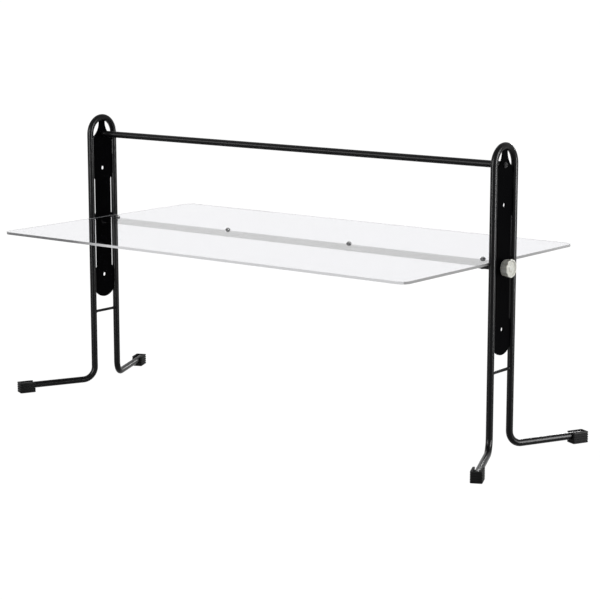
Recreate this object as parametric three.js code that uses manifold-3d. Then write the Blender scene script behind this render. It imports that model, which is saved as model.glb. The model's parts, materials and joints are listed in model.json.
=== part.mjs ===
// Countertop sneeze guard: a clear acrylic panel that tilts between two bent tube end frames.
//
// Millimetres. X runs along the counter, Y from the diner's side (-) to the server's side (+) and Z up.
// The origin is the bottom centre of the whole guard, on the counter top.

import * as THREE from "three";
import { mergeVertices } from "three/addons/utils/BufferGeometryUtils.js";
import Module from "manifold-3d";

const wasm = await Module();
wasm.setup();

// ---------------------------------------------------------------- driving dimensions

const GAP = 0.3; // kept between pieces that touch
const OVERSHOOT = 1; // how far a cutter reaches past the face that it opens
const UP = new THREE.Vector3(0, 0, 1);
const STEPS = { tube: 16, bend: 6, arch: 12, scallop: 8, rung: 10, screw: 12, stud: 14, washer: 16, dish: 24 };

const TUBE = { d: 16, wall: 1.5 };

const FRAME = {
  spacing: 1216, // between the centre planes of the two end frames
  height: 704,
  legSpacing: 84,
  footBend: 32, // centre-line radius where a leg turns into its foot
  footReach: 208, // from the leg's axis to the far end of the foot block
  splay: THREE.MathUtils.degToRad(25), // how far a foot points outward of the Y direction
  rungHeight: 194,
  rungD: 7,
};

const FOOT = { length: 41, width: 27.5, height: 26.5, endWall: 5, axisHeight: 17 };

const PLATE = {
  thickness: 4,
  bottom: 230,
  bottomR: 40, // radius of the rounded lower end
  neckHalf: 9.5, // half width of the neck under the arch
  scallopR: 42,
  scallopZ: 685, // height where the scallops leave the neck
  waistHalf: 27, // half width beside the slots
  lowerSlot: [308, 429],
  upperSlot: [447, 540],
};

const PIVOT = { z: 427, holePitch: 139, holeD: 10, studD: 8, studInset: 4 };
const PANEL = { length: 1196, front: 362, back: 328, thickness: 6, cornerR: 22 };
const SCREW = { d: 6, count: 4, pitch: 371, headD: 11, headH: 3.5, bushD: 10, tipAbove: 3 };
const DOME = [[0.5, 0.35], [0.42, 0.72], [0.22, 0.95], [0, 1]]; // shares of a screw head's width and height
const KNOB = { d: 42, length: 20, lobes: 10, lobeDepth: 1.3, dishD: 30, dishDepth: 2.5, boreDepth: 12 };
const WASHER = { small: [13, 1], friction: [22, 1.5], knob: [24, 1.5] }; // diameter, thickness
const PLUG = { supportLength: 25, crossbarLength: 20 };

// ---------------------------------------------------------------- worked out from them

const TUBE_R = TUBE.d / 2;
const BORE_R = TUBE_R - TUBE.wall;
const LEG_Y = FRAME.legSpacing / 2;
const PLATE_EDGE = LEG_Y - TUBE_R - GAP; // half width of the plate where it meets the legs
const ARCH_Z = FRAME.height - TUBE_R - LEG_Y; // centre of the arch, and the crossbar's height
const PLATE_INNER = FRAME.spacing / 2 - PLATE.thickness / 2;
const PLATE_OUTER = PLATE_INNER + PLATE.thickness;
const SUPPORT_END = PLATE_INNER - WASHER.friction[1] - 2 * GAP;
const CROSSBAR_END = PLATE_INNER - GAP;
const PANEL_Z = TUBE_R + GAP; // underside of the panel above the support tube's axis
const PANEL_TOP = PANEL_Z + PANEL.thickness;
const KNOB_X = PLATE_OUTER + WASHER.knob[1] + 2 * GAP; // inner face of the knob

// ---------------------------------------------------------------- materials

const finish = (color, roughness, metalness, opacity = 1) =>
  () => new THREE.MeshStandardMaterial({ color, roughness, metalness, opacity, transparent: opacity < 1 });

const FINISH = {
  powderCoat: finish(0x111111, 0.4, 0.2),
  moulded: finish(0x161616, 0.75, 0),
  acrylic: finish(0xe8eef0, 0.05, 0, 0.3),
  clearPlastic: finish(0xc9c9c0, 0.25, 0),
  nylon: finish(0x181818, 0.6, 0),
  blackZinc: finish(0x1c1c1e, 0.4, 0.6),
  zinc: finish(0x9a9c9e, 0.4, 0.9),
  chrome: finish(0xd5d7da, 0.1, 1),
};

// ---------------------------------------------------------------- solids

// Makes a solid for cutting and joining out of a closed geometry.
function solid(geometry) {
  const bare = geometry.clone();
  bare.deleteAttribute("normal");
  bare.deleteAttribute("uv");
  const merged = mergeVertices(bare, 1e-4);
  const mesh = new wasm.Mesh({
    numProp: 3,
    vertProperties: new Float32Array(merged.attributes.position.array),
    triVerts: new Uint32Array(merged.index.array),
  });
  return new wasm.Manifold(mesh);
}

// Turns a solid back into a geometry with flat-shaded normals.
function surface(body) {
  const mesh = body.getMesh();
  const indexed = new THREE.BufferGeometry();
  indexed.setAttribute("position", new THREE.BufferAttribute(mesh.vertProperties, 3));
  indexed.setIndex(new THREE.BufferAttribute(mesh.triVerts, 1));
  const geometry = indexed.toNonIndexed();
  geometry.computeVertexNormals();
  return geometry;
}

function carve(geometry, cutters) {
  return surface(cutters.reduce((body, cutter) => body.subtract(solid(cutter)), solid(geometry)));
}

// A bar or tube of round section lying along X between two places.
function roundBar(from, to, radius, boreRadius = 0, sides = STEPS.tube) {
  const [low, high] = [Math.min(from, to), Math.max(from, to)];
  const profile = boreRadius
    ? [[boreRadius, low], [radius, low], [radius, high], [boreRadius, high], [boreRadius, low]]
    : [[0, low], [radius, low], [radius, high], [0, high]];
  return lathe(profile, sides).rotateZ(-Math.PI / 2);
}

// The same, standing along Z.
function roundPost(from, to, radius, boreRadius = 0, sides = STEPS.tube) {
  return roundBar(from, to, radius, boreRadius, sides).rotateY(-Math.PI / 2);
}

function lathe(profile, sides) {
  return new THREE.LatheGeometry(profile.map(([r, h]) => new THREE.Vector2(r, h)), sides);
}

function circlePath(y, z, radius) {
  return new THREE.Path().absarc(y, z, radius, 0, 2 * Math.PI, true);
}

function piece(name, geometry, makeMaterial, place = new THREE.Vector3()) {
  const mesh = new THREE.Mesh(geometry, makeMaterial());
  mesh.name = name;
  mesh.position.copy(place);
  return mesh;
}

// ---------------------------------------------------------------- bent tube

// A wire of straight runs and round bends. A section is drawn at the ends of each run and evenly
// round each bend, so the long straight runs take only one step.
class BentWire extends THREE.Curve {
  constructor(runs) {
    super();
    this.runs = runs;
    this.steps = runs.reduce((sum, run) => sum + run.steps, 0);
  }

  getUtoTmapping(u) {
    return u;
  }

  getPoint(t, target = new THREE.Vector3()) {
    let left = t * this.steps;
    const run = this.runs.find((each, index) => {
      if (left <= each.steps || index === this.runs.length - 1) return true;
      left -= each.steps;
      return false;
    });
    return target.copy(run.at(left / run.steps));
  }
}

const straight = (from, to) => ({ steps: 1, at: (t) => from.clone().lerp(to, t) });

// Turns through an angle about a centre, from the direction `start` towards the direction `end`.
function bend(centre, radius, start, end, angle, steps) {
  const at = (t) => centre.clone()
    .addScaledVector(start, radius * Math.cos(t * angle))
    .addScaledVector(end, radius * Math.sin(t * angle));
  return { steps, at };
}

// ---------------------------------------------------------------- end frames

// The unit vector that a foot points along: side is +1 on the right, depth is -1 at the front.
function footDirection(side, depth) {
  return new THREE.Vector3(side * Math.sin(FRAME.splay), depth * Math.cos(FRAME.splay), 0);
}

// The centre line of an end frame: foot, leg, arch, leg, foot.
function frameWire(side) {
  const endReach = FRAME.footReach - FOOT.endWall - GAP;
  const down = UP.clone().negate();
  const half = (depth) => {
    const out = footDirection(side, depth);
    const leg = new THREE.Vector3(0, depth * LEG_Y, 0);
    const spot = (reach, z) => leg.clone().addScaledVector(out, reach).setZ(z);
    return {
      inward: out.clone().negate(),
      end: spot(endReach, FOOT.axisHeight),
      flat: spot(FRAME.footBend, FOOT.axisHeight),
      centre: spot(FRAME.footBend, FOOT.axisHeight + FRAME.footBend),
      knee: spot(0, FOOT.axisHeight + FRAME.footBend),
      shoulder: spot(0, ARCH_Z),
    };
  };
  const [front, back] = [half(-1), half(1)];
  const arch = bend(new THREE.Vector3(0, 0, ARCH_Z), LEG_Y, new THREE.Vector3(0, -1, 0), UP, Math.PI, STEPS.arch);
  return new BentWire([
    straight(front.end, front.flat),
    bend(front.centre, FRAME.footBend, down, front.inward, Math.PI / 2, STEPS.bend),
    straight(front.knee, front.shoulder),
    arch,
    straight(back.shoulder, back.knee),
    bend(back.centre, FRAME.footBend, back.inward, down, Math.PI / 2, STEPS.bend),
    straight(back.flat, back.end),
  ]);
}

function frameTube(side) {
  const section = new THREE.Shape().absarc(0, 0, TUBE_R, 0, 2 * Math.PI, false);
  section.holes.push(new THREE.Path().absarc(0, 0, BORE_R, 0, 2 * Math.PI, true));
  const wire = frameWire(side);
  const options = { extrudePath: wire, steps: wire.steps, curveSegments: STEPS.tube / 2 };
  return new THREE.ExtrudeGeometry(section, options);
}

// Draws one side edge of the plate from its lower end up to the neck, or down again.
function plateEdgePoints() {
  const lowerEnd = PLATE.bottom + PLATE.bottomR - Math.sqrt(PLATE.bottomR ** 2 - PLATE_EDGE ** 2);
  const scallopCentre = PLATE.neckHalf + PLATE.scallopR;
  const shoulder = PLATE.scallopZ - Math.sqrt(PLATE.scallopR ** 2 - (scallopCentre - PLATE_EDGE) ** 2);
  const slotSteps = [PLATE.lowerSlot, PLATE.upperSlot].flatMap(([low, high]) => [
    [PLATE_EDGE, low], [PLATE.waistHalf, low], [PLATE.waistHalf, high], [PLATE_EDGE, high],
  ]);
  const scallop = Array.from({ length: STEPS.scallop + 1 }, (_, i) => {
    const z = shoulder + ((PLATE.scallopZ - shoulder) * i) / STEPS.scallop;
    return [scallopCentre - Math.sqrt(PLATE.scallopR ** 2 - (PLATE.scallopZ - z) ** 2), z];
  });
  const neckTop = ARCH_Z + Math.sqrt(PLATE_EDGE ** 2 - PLATE.neckHalf ** 2);
  return [[PLATE_EDGE, lowerEnd], ...slotSteps, ...scallop, [PLATE.neckHalf, neckTop]];
}

// The flat plate between the legs: three pivot holes, two side slots each side and a scalloped neck.
function plate(side) {
  const edge = plateEdgePoints();
  const outline = new THREE.Shape();
  edge.forEach(([y, z], i) => (i ? outline.lineTo(y, z) : outline.moveTo(y, z)));
  outline.lineTo(0, ARCH_Z + PLATE_EDGE);
  [...edge].reverse().forEach(([y, z]) => outline.lineTo(-y, z));
  const spread = Math.asin(PLATE_EDGE / PLATE.bottomR);
  const down = -Math.PI / 2;
  outline.absarc(0, PLATE.bottom + PLATE.bottomR, PLATE.bottomR, down - spread, down + spread, false);
  const pivots = [-1, 0, 1].map((step) => PIVOT.z + step * PIVOT.holePitch);
  pivots.forEach((z) => outline.holes.push(circlePath(0, z, PIVOT.holeD / 2)));
  outline.holes.push(circlePath(0, ARCH_Z, SCREW.d / 2 + GAP));
  const slab = new THREE.ExtrudeGeometry(outline, {
    depth: PLATE.thickness, bevelEnabled: false, curveSegments: 8,
  });
  // The outline's axes become Y and Z, and its thickness runs along X.
  const axes = new THREE.Matrix4().makeBasis(new THREE.Vector3(0, 1, 0), UP, new THREE.Vector3(1, 0, 0));
  return slab.applyMatrix4(axes).translate(-PLATE.thickness / 2, 0, 0);
}

// A moulded block with a closed outer end and a groove from above that the foot tube lies in.
function footBlock() {
  const block = new THREE.BoxGeometry(FOOT.length, FOOT.width, FOOT.height);
  block.translate(FRAME.footReach - FOOT.length / 2, 0, FOOT.height / 2);
  const r = TUBE_R + GAP;
  const groove = new THREE.Shape();
  groove.moveTo(r, FOOT.height + OVERSHOOT);
  groove.lineTo(-r, FOOT.height + OVERSHOOT);
  groove.lineTo(-r, FOOT.axisHeight);
  groove.absarc(0, FOOT.axisHeight, r, Math.PI, 2 * Math.PI, false);
  const cutter = new THREE.ExtrudeGeometry(groove, { depth: FOOT.length, bevelEnabled: false, curveSegments: 6 });
  const axes = new THREE.Matrix4().makeBasis(new THREE.Vector3(0, 1, 0), UP, new THREE.Vector3(1, 0, 0));
  cutter.applyMatrix4(axes).translate(FRAME.footReach - FOOT.endWall - FOOT.length, 0, 0);
  return carve(block, [cutter]);
}

function endFrame(label, side) {
  const group = new THREE.Group();
  group.position.x = (side * FRAME.spacing) / 2;
  group.add(piece(`${label}_frame_tube`, frameTube(side), FINISH.powderCoat));
  group.add(piece(`${label}_plate`, plate(side), FINISH.powderCoat));
  const rung = roundBar(-PLATE_EDGE, PLATE_EDGE, FRAME.rungD / 2, 0, STEPS.rung).rotateZ(Math.PI / 2);
  group.add(piece(`${label}_rung`, rung, FINISH.powderCoat, new THREE.Vector3(0, 0, FRAME.rungHeight)));
  for (const [where, depth] of [["front", -1], ["rear", 1]]) {
    const foot = piece(`${label}_${where}_foot`, footBlock(), FINISH.moulded);
    const out = footDirection(side, depth);
    foot.position.set(0, depth * LEG_Y, 0);
    foot.rotation.z = Math.atan2(out.y, out.x);
    group.add(foot);
  }
  return group;
}

// ---------------------------------------------------------------- crossbar

// A dome-headed screw along Y: its head stands on the origin and its shank runs down from there.
function domeScrew(shank) {
  const { d, headD, headH } = SCREW;
  const dome = DOME.map(([across, up]) => [headD * across, headH * up]);
  return lathe([[0, -shank], [d / 2, -shank], [d / 2, 0], [headD / 2, 0], ...dome], STEPS.screw);
}

function washer([diameter, thickness], hole) {
  return roundBar(0, thickness, diameter / 2, hole / 2, STEPS.washer);
}

// The fixed bar across the top, with a threaded plug, a bolt and a washer at each end.
function crossbar() {
  const group = new THREE.Group();
  group.position.z = ARCH_Z;
  const tube = roundBar(-CROSSBAR_END, CROSSBAR_END, TUBE_R, BORE_R);
  group.add(piece("crossbar_tube", tube, FINISH.powderCoat));
  for (const [label, side] of [["left", -1], ["right", 1]]) {
    const end = new THREE.Group();
    end.rotation.z = side > 0 ? 0 : Math.PI;
    const plug = roundBar(CROSSBAR_END - PLUG.crossbarLength, CROSSBAR_END, BORE_R - GAP, SCREW.d / 2 + GAP);
    end.add(piece(`crossbar_${label}_plug`, plug, FINISH.zinc));
    const ring = washer(WASHER.small, SCREW.d + 2 * GAP).translate(PLATE_OUTER + GAP, 0, 0);
    end.add(piece(`crossbar_${label}_washer`, ring, FINISH.blackZinc));
    const seat = PLATE_OUTER + WASHER.small[1] + 2 * GAP;
    const bolt = domeScrew(PLATE.thickness + PLUG.crossbarLength).rotateZ(-Math.PI / 2).translate(seat, 0, 0);
    end.add(piece(`crossbar_${label}_bolt`, bolt, FINISH.blackZinc));
    group.add(end);
  }
  return group;
}

// ---------------------------------------------------------------- tilting panel

function acrylicPanel() {
  const [x, front, back, r] = [PANEL.length / 2, -PANEL.front, PANEL.back, PANEL.cornerR];
  const outline = new THREE.Shape();
  outline.absarc(x - r, front + r, r, -Math.PI / 2, 0, false);
  outline.absarc(x - r, back - r, r, 0, Math.PI / 2, false);
  outline.absarc(-x + r, back - r, r, Math.PI / 2, Math.PI, false);
  outline.absarc(-x + r, front + r, r, Math.PI, 1.5 * Math.PI, false);
  screwPlaces().forEach((at) => outline.holes.push(circlePath(at, 0, SCREW.d / 2 + GAP)));
  const sheet = new THREE.ExtrudeGeometry(outline, {
    depth: PANEL.thickness, bevelEnabled: false, curveSegments: 6,
  });
  return sheet.translate(0, 0, PANEL_Z);
}

// Where the panel's screws stand along the support tube.
function screwPlaces() {
  return Array.from({ length: SCREW.count }, (_, i) => (i - (SCREW.count - 1) / 2) * SCREW.pitch);
}

// The tube under the panel, cross-drilled for the threaded bushes.
function supportTube() {
  const tube = roundBar(-SUPPORT_END, SUPPORT_END, TUBE_R, BORE_R);
  const holes = screwPlaces().map((at) => roundPost(-TUBE.d, TUBE.d, SCREW.bushD / 2 + GAP).translate(at, 0, 0));
  return carve(tube, holes);
}

// At each place a screw goes down through a washer and the panel into a bush welded in the tube.
function fasteners() {
  const group = new THREE.Group();
  const washerZ = PANEL_TOP + GAP;
  const seat = washerZ + WASHER.small[1] + GAP;
  const shank = seat + TUBE_R - SCREW.tipAbove;
  screwPlaces().forEach((at, i) => {
    const place = new THREE.Vector3(at, 0, 0);
    const [d, t] = WASHER.small;
    const ring = roundPost(washerZ, washerZ + t, d / 2, SCREW.d / 2 + GAP);
    const bush = roundPost(-TUBE_R, TUBE_R, SCREW.bushD / 2, SCREW.d / 2 + GAP);
    const screw = domeScrew(shank).rotateX(Math.PI / 2).translate(0, 0, seat);
    group.add(piece(`screw_bush_${i + 1}`, bush, FINISH.powderCoat, place));
    group.add(piece(`panel_washer_${i + 1}`, ring, FINISH.nylon, place));
    group.add(piece(`panel_screw_${i + 1}`, screw, FINISH.chrome, place));
  });
  return group;
}

// The round knob: a lobed rim, a dished outer face and a blind hole for the stud.
function knob() {
  const { d, length, lobes, lobeDepth, dishD, dishDepth, boreDepth } = KNOB;
  const outline = new THREE.Shape();
  const points = lobes * 6;
  for (let i = 0; i < points; i += 1) {
    const angle = (i * 2 * Math.PI) / points;
    const r = d / 2 - lobeDepth * (0.5 - 0.5 * Math.cos(lobes * angle));
    const [u, v] = [r * Math.cos(angle), r * Math.sin(angle)];
    i ? outline.lineTo(u, v) : outline.moveTo(u, v);
  }
  const body = new THREE.ExtrudeGeometry(outline, { depth: length, bevelEnabled: false });
  body.rotateY(Math.PI / 2);
  const dish = roundBar(length - dishDepth, length + OVERSHOOT, dishD / 2, 0, STEPS.dish);
  const bore = roundBar(-OVERSHOOT, boreDepth, PIVOT.studD / 2 + GAP, 0, STEPS.stud);
  return carve(body, [dish, bore]);
}

// Everything that clamps one end of the support tube to its plate.
function clampEnd(label, side) {
  const end = new THREE.Group();
  end.rotation.z = side > 0 ? 0 : Math.PI;
  const bore = PIVOT.studD / 2 + GAP;
  const plug = roundBar(SUPPORT_END - PLUG.supportLength, SUPPORT_END, BORE_R - GAP, bore);
  end.add(piece(`support_${label}_plug`, plug, FINISH.zinc));
  const friction = washer(WASHER.friction, 2 * bore).translate(SUPPORT_END + GAP, 0, 0);
  end.add(piece(`${label}_friction_washer`, friction, FINISH.nylon));
  const studEnds = [SUPPORT_END - PLUG.supportLength + PIVOT.studInset, KNOB_X + KNOB.boreDepth - GAP];
  end.add(piece(`${label}_stud`, roundBar(...studEnds, PIVOT.studD / 2, 0, STEPS.stud), FINISH.zinc));
  const ring = washer(WASHER.knob, 2 * bore).translate(PLATE_OUTER + GAP, 0, 0);
  end.add(piece(`${label}_knob_washer`, ring, FINISH.blackZinc));
  end.add(piece(`${label}_knob`, knob().translate(KNOB_X, 0, 0), FINISH.clearPlastic));
  return end;
}

function tiltingPanel() {
  const group = new THREE.Group();
  group.position.z = PIVOT.z;
  group.add(piece("support_tube", supportTube(), FINISH.powderCoat));
  group.add(piece("acrylic_panel", acrylicPanel(), FINISH.acrylic));
  group.add(fasteners());
  group.add(clampEnd("left", -1));
  group.add(clampEnd("right", 1));
  return group;
}

// ---------------------------------------------------------------- the whole guard

const guard = new THREE.Group();
// The panel reaches further forward than back, so the frames stand a little behind the middle.
guard.position.y = (PANEL.front - PANEL.back) / 2;
guard.add(endFrame("left", -1));
guard.add(endFrame("right", 1));
guard.add(crossbar());
guard.add(tiltingPanel());

export default guard;
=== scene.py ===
"""A countertop sneeze guard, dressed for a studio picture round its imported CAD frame.

The guard is a clear cast-acrylic panel that tilts between two bent steel end frames. Everything is in metres
in the frame's own axes: X along the counter, Y from the diner's side to the server's side, and Z up.
"""

import json
import logging
import math
from dataclasses import dataclass
from enum import Enum
from functools import partial
from typing import Callable, Iterable, Sequence

import bmesh
import bpy
from mathutils import Matrix, Quaternion, Vector

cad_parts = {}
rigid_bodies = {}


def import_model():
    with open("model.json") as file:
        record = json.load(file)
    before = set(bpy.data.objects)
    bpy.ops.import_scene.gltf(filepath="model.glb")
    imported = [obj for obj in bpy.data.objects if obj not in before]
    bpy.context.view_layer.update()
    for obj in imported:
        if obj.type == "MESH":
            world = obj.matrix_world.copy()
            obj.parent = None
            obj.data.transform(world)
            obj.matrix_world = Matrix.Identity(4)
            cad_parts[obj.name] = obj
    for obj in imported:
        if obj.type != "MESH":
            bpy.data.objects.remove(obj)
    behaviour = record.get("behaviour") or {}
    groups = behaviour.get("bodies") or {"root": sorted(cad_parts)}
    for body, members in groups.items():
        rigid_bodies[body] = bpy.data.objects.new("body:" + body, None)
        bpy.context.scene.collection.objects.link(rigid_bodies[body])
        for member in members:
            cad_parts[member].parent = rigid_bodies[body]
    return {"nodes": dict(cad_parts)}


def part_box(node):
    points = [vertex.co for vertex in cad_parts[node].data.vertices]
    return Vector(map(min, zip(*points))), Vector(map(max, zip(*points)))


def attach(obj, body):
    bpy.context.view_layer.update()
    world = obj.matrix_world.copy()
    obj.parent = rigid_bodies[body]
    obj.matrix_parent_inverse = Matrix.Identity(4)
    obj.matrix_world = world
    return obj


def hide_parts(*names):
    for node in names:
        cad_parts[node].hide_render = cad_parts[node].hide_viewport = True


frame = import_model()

LOG = logging.getLogger("sneeze_guard")
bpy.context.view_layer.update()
MM = 0.001
POLE = 0.03 * MM  # points closer than this are joined, so a ring this small closes to a point
TINY = POLE / 4  # the smallest radius drawn, and the width below which a sliver is dropped
M6_HOLE, M8_HOLE = 6.6 * MM, 8.6 * MM
PLASTIC_IOR = 1.49  # acrylic and polypropylene bend light alike
TURN = 2 * math.pi
X_AXIS, Y_AXIS, Z_AXIS = Vector((1, 0, 0)), Vector((0, 1, 0)), Vector((0, 0, 1))

Ring = list[Vector]
Outline = list[tuple[float, float]]


class Side(Enum):
    """An end of the guard, and the sign of X that it stands on."""

    LEFT = -1
    RIGHT = 1

    @property
    def label(self) -> str:
        """The word that the end's nodes start with."""
        return self.name.lower()


class Row(Enum):
    """A leg's place in an end frame, and the sign of Y that it stands on."""

    FRONT = -1
    REAR = 1


# ------------------------------------------------------------------------------------------ colour and nodes


def linear(hex_colour: str, alpha: float = 1.0) -> tuple[float, float, float, float]:
    """Turns an sRGB hex colour into the linear colour that shaders use.

    Args:
        hex_colour: Six hex digits, such as "1A1B1C".
        alpha: The fourth number of the result.

    Returns:
        Linear red, green, blue and alpha.
    """
    channels = [int(hex_colour[i : i + 2], 16) / 255 for i in (0, 2, 4)]
    red, green, blue = (c / 12.92 if c <= 0.04045 else ((c + 0.055) / 1.055) ** 2.4 for c in channels)
    return red, green, blue, alpha


def add_node(
    tree: bpy.types.NodeTree,
    kind: str,
    settings: dict[str, object] | None = None,
    links: dict[str, bpy.types.NodeSocket] | None = None,
) -> bpy.types.Node:
    """Adds a node with its settings and links.

    Args:
        tree: The tree that the node goes into.
        kind: The node's Blender type name.
        settings: Values by the name of the node's property or of its input socket.
        links: Output sockets by the name of the input that each one feeds.

    Returns:
        The new node.
    """
    node = tree.nodes.new(kind)
    for key, value in (settings or {}).items():
        if hasattr(node, key):
            setattr(node, key, value)
        else:
            node.inputs[key].default_value = value
    for key, source in (links or {}).items():
        tree.links.new(source, node.inputs[key])
    return node


def per_metre(size_mm: float) -> float:
    """The texture scale that gives a pattern of this size in millimetres."""
    return 1 / (size_mm * MM)


# ------------------------------------------------------------------------------------------ finishes


@dataclass(frozen=True)
class Finish:
    """A surface finish: what the material is and how its surface was made."""

    name: str
    slot: str
    colour: str
    roughness: float
    metallic: float = 0.0

    def make(self) -> bpy.types.Material:
        """Builds the node material once, and returns it each later time.

        Returns:
            The material of this finish.
        """
        known = bpy.data.materials.get(self.name)
        if known is not None:
            return known
        material = bpy.data.materials.new(self.name)
        material.use_nodes = True
        tree = material.node_tree
        shader = tree.nodes["Principled BSDF"]
        shader.inputs["Base Color"].default_value = linear(self.colour)
        shader.inputs["Roughness"].default_value = self.roughness
        shader.inputs["Metallic"].default_value = self.metallic
        place = add_node(tree, "ShaderNodeTexCoord").outputs["Object"]
        self.detail(tree, shader, place)
        return material

    def detail(self, tree: bpy.types.NodeTree, shader: bpy.types.Node, place: bpy.types.NodeSocket) -> None:
        """Adds what makes this finish itself; each finish has its own."""

    def tint(self, tree: bpy.types.NodeTree, shader: bpy.types.Node, mask: bpy.types.NodeSocket, dark: str,
             light: str) -> None:
        """Spreads the base colour between two close tones.

        Args:
            tree: The material's tree.
            shader: The shader that takes the colour.
            mask: A value from 0 to 1 over the surface.
            dark: The hex colour at 0.
            light: The hex colour at 1.
        """
        ramp = add_node(tree, "ShaderNodeValToRGB", links={"Fac": mask})
        ramp.color_ramp.elements[0].color = linear(dark)
        ramp.color_ramp.elements[1].color = linear(light)
        tree.links.new(ramp.outputs["Color"], shader.inputs["Base Color"])

    def vary_roughness(self, tree: bpy.types.NodeTree, shader: bpy.types.Node, mask: bpy.types.NodeSocket,
                       low: float, high: float) -> None:
        """Lets the roughness move between two values with a mask.

        Args:
            tree: The material's tree.
            shader: The shader that takes the roughness.
            mask: A value from 0 to 1 over the surface.
            low: The roughness at 0.
            high: The roughness at 1.
        """
        spread = add_node(tree, "ShaderNodeMapRange", {"To Min": low, "To Max": high}, {"Value": mask})
        tree.links.new(spread.outputs["Result"], shader.inputs["Roughness"])

    @staticmethod
    def noise(tree: bpy.types.NodeTree, place: bpy.types.NodeSocket, size_mm: float,
              octaves: float) -> bpy.types.NodeSocket:
        """Adds a noise pattern with a grain of the given size, and returns its value."""
        pattern = add_node(tree, "ShaderNodeTexNoise", {"Scale": per_metre(size_mm), "Detail": octaves},
                           {"Vector": place})
        return pattern.outputs["Fac"]

    @staticmethod
    def emboss(tree: bpy.types.NodeTree, shader: bpy.types.Node, height: bpy.types.NodeSocket,
               strength: float, depth_mm: float) -> None:
        """Raises a pattern from the surface by the given depth."""
        bump = add_node(tree, "ShaderNodeBump", {"Strength": strength, "Distance": depth_mm * MM},
                        {"Height": height})
        tree.links.new(bump.outputs["Normal"], shader.inputs["Normal"])


@dataclass(frozen=True)
class PowderCoat(Finish):
    """Polyester powder baked on steel: satin black, with the faint orange peel of powder that has melted."""

    peel_mm: float = 1.6
    speck_mm: float = 0.35
    drift_mm: float = 60.0
    peel_depth_mm: float = 0.012
    gloss: float = 0.08
    pale: str = "060607"

    def detail(self, tree: bpy.types.NodeTree, shader: bpy.types.Node, place: bpy.types.NodeSocket) -> None:
        """Orange peel in the bump, and a slow drift in gloss as the oven leaves it."""
        # Set far below a real coat's gloss, because the even white room would turn the coat grey.
        shader.inputs["Specular IOR Level"].default_value = self.gloss
        peel = self.noise(tree, place, self.peel_mm, 3.0)
        speck = self.noise(tree, place, self.speck_mm, 1.0)
        drift = self.noise(tree, place, self.drift_mm, 2.0)
        height = add_node(tree, "ShaderNodeMath", {"operation": "MULTIPLY_ADD"},
                          {"Value": speck})
        height.inputs[1].default_value = 0.25
        tree.links.new(peel, height.inputs[2])
        self.emboss(tree, shader, height.outputs["Value"], 0.6, self.peel_depth_mm)
        self.vary_roughness(tree, shader, drift, self.roughness - 0.04, self.roughness + 0.05)
        self.tint(tree, shader, drift, self.colour, self.pale)


@dataclass(frozen=True)
class MouldedRubber(Finish):
    """Black rubber pressed in a spark-eroded mould: matt, with a fine pebbled grain and a dusty bloom."""

    grain_mm: float = 0.5
    grain_depth_mm: float = 0.05
    bloom_mm: float = 9.0
    gloss: float = 0.07
    pale: str = "0C0C0C"

    def detail(self, tree: bpy.types.NodeTree, shader: bpy.types.Node, place: bpy.types.NodeSocket) -> None:
        """Pebble grain in the bump, and a pale bloom where hands have not rubbed it off."""
        shader.inputs["Specular IOR Level"].default_value = self.gloss
        grain = add_node(tree, "ShaderNodeTexVoronoi", {"Scale": per_metre(self.grain_mm)}, {"Vector": place})
        bloom = self.noise(tree, place, self.bloom_mm, 4.0)
        self.emboss(tree, shader, grain.outputs["Distance"], 0.5, self.grain_depth_mm)
        self.tint(tree, shader, bloom, self.colour, self.pale)
        self.vary_roughness(tree, shader, bloom, self.roughness - 0.12, self.roughness + 0.1)


@dataclass(frozen=True)
class CastAcrylic(Finish):
    """Cast acrylic sheet: water clear with a cool cast, and faint wiping marks on its polished faces."""

    wipe_mm: float = 14.0

    def detail(self, tree: bpy.types.NodeTree, shader: bpy.types.Node, place: bpy.types.NodeSocket) -> None:
        """Full transmission, with the haze of long wiping strokes in the roughness."""
        shader.inputs["Transmission Weight"].default_value = 1.0
        shader.inputs["IOR"].default_value = PLASTIC_IOR
        stretch = add_node(tree, "ShaderNodeMapping", {"Scale": (0.15, 1.0, 1.0)}, {"Vector": place})
        wipe = self.noise(tree, stretch.outputs["Vector"], self.wipe_mm, 5.0)
        self.vary_roughness(tree, shader, wipe, 0.0, self.roughness)


@dataclass(frozen=True)
class PolishedEdge(Finish):
    """The sheet's flame-polished edge: clear, less so than the faces, with painted shade set along X that
    darkens it towards the left end.
    """

    ripple_mm: float = 5.0
    clearness: float = 0.35
    pale: str = "F4F4F6"
    deep_colour: str = "78787A"
    deep_until: float = -0.36
    clear_from: float = -0.24

    def detail(self, tree: bpy.types.NodeTree, shader: bpy.types.Node, place: bpy.types.NodeSocket) -> None:
        """The painted shade at the left, the clear tone towards the right, and the flame's slow ripple."""
        shader.inputs["Transmission Weight"].default_value = self.clearness
        shader.inputs["IOR"].default_value = PLASTIC_IOR
        ripple = self.noise(tree, place, self.ripple_mm, 2.0)
        self.emboss(tree, shader, ripple, 0.3, 0.05)
        self.tint(tree, shader, ripple, self.colour, self.pale)
        # Painted shade: the edge's tone darkens to the shade colour towards the left end, set by X alone.
        tone = shader.inputs["Base Color"].links[0].from_socket
        along = add_node(tree, "ShaderNodeSeparateXYZ", links={"Vector": place})
        shade_fade = add_node(tree, "ShaderNodeMapRange",
                         {"From Min": self.deep_until, "From Max": self.clear_from},
                         {"Value": along.outputs["X"]})
        shaded_tone = add_node(tree, "ShaderNodeMixRGB", {"Color1": linear(self.deep_colour)},
                        {"Fac": shade_fade.outputs["Result"], "Color2": tone})
        tree.links.new(shaded_tone.outputs["Color"], shader.inputs["Base Color"])


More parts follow.
